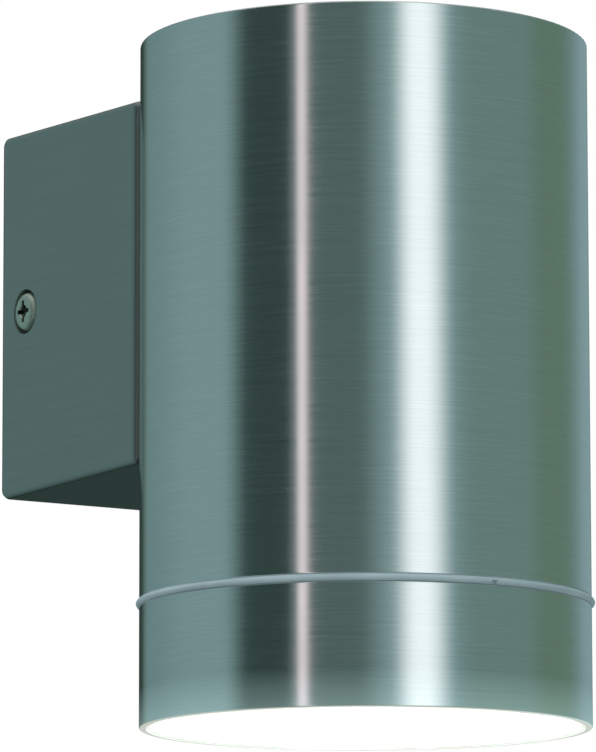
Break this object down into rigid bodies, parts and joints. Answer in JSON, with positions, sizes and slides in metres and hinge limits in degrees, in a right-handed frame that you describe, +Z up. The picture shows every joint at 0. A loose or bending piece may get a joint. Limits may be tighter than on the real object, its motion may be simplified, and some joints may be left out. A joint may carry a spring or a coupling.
{
  "type": "wall light",
  "caption": "Round brushed steel down-light tube on a small rectangular wall box, with a screw-off glass bezel and a twist-lock lamp.",
  "frame": {"origin": "middle of the two wall slots in the bracket's back face, on the wall", "axes": "+Y into the wall, +Z up, +X to the right of someone who faces the wall"},
  "size_m": [0.066, 0.1061, 0.0995],
  "materials": {
    "tube_steel": "stainless steel brushed round the tube",
    "box_steel": "stainless steel brushed along the box",
    "zinc_steel": "bright zinc plate",
    "screw_steel": "plain stainless steel",
    "turned_aluminium": "turned, fine feed marks",
    "plain_brass": "plain",
    "pin_steel": "bright nickel plate",
    "black_rubber": "moulded, matt",
    "gasket_foam": "closed-cell foam sheet",
    "clear_silicone": "milky, slightly see-through",
    "white_silicone": "moulded, matt",
    "terminal_plastic": "moulded",
    "white_steatite": "unglazed",
    "lamp_ceramic": "unglazed",
    "brown_insulation": "silicone sleeve",
    "blue_insulation": "silicone sleeve",
    "green_insulation": "silicone sleeve, green and yellow",
    "lens_clear": "clear toughened glass",
    "lamp_clear": "clear",
    "mirror_reflector": "mirrored inside",
    "lamp_glow": "lit"
  },
  "bodies": {
    "body": {"wall_bracket": "zinc_steel", "cable_grommet": "black_rubber", "wall_gasket": "gasket_foam", "back_box": "box_steel", "side_screw_right": "screw_steel", "side_screw_left": "screw_steel", "saddle_pad": "black_rubber", "wire_bush": "black_rubber", "joint_screw_upper": "zinc_steel", "joint_screw_lower": "zinc_steel", "joint_washers": "zinc_steel", "joint_nuts": "zinc_steel", "terminal_strap": "zinc_steel", "terminal_block": "terminal_plastic", "terminal_barrels": "plain_brass", "terminal_clamp_screws": "zinc_steel", "terminal_block_screw": "zinc_steel", "body_tube": "tube_steel", "top_cap": "tube_steel", "threaded_ring": "turned_aluminium", "lampholder_bracket": "zinc_steel", "lampholder_body": "white_steatite", "lampholder_contacts": "plain_brass", "lampholder_lid": "white_steatite", "lampholder_screws": "zinc_steel", "earth_lug": "plain_brass", "earth_screw": "plain_brass", "live_lead": "brown_insulation", "neutral_lead": "blue_insulation", "earth_lead": "green_insulation"},
    "lamp": {"lamp_reflector": "mirror_reflector", "lamp_cover": "lamp_clear", "lamp_base": "lamp_ceramic", "lamp_pins": "pin_steel", "lamp_capsule": "lamp_glow"},
    "seal": {"bezel_seal": "clear_silicone"},
    "bezel": {"bezel_sleeve": "tube_steel", "bezel_collar": "turned_aluminium", "lens_seal": "white_silicone", "lens_glass": "lens_clear"}
  },
  "joints": [
    {"name": "lamp_twist", "type": "hinge", "parent": "body", "child": "lamp", "pos_m": [0, -0.0731, -0.03], "axis": [0, 0, -1], "range_deg": [0, 30]},
    {"name": "bezel_drop", "type": "slide", "parent": "body", "child": "seal", "axis": [0, 0, -1], "range_m": [0, 0.0071]},
    {"name": "bezel_turn", "type": "hinge", "parent": "seal", "child": "bezel", "pos_m": [0, -0.0731, -0.05], "axis": [0, 0, -1], "range_deg": [0, 1260]}
  ],
  "couplings": [
    {"joint": "bezel_drop", "follows": "bezel_turn", "m_per_rad": 0.000318}
  ]
}
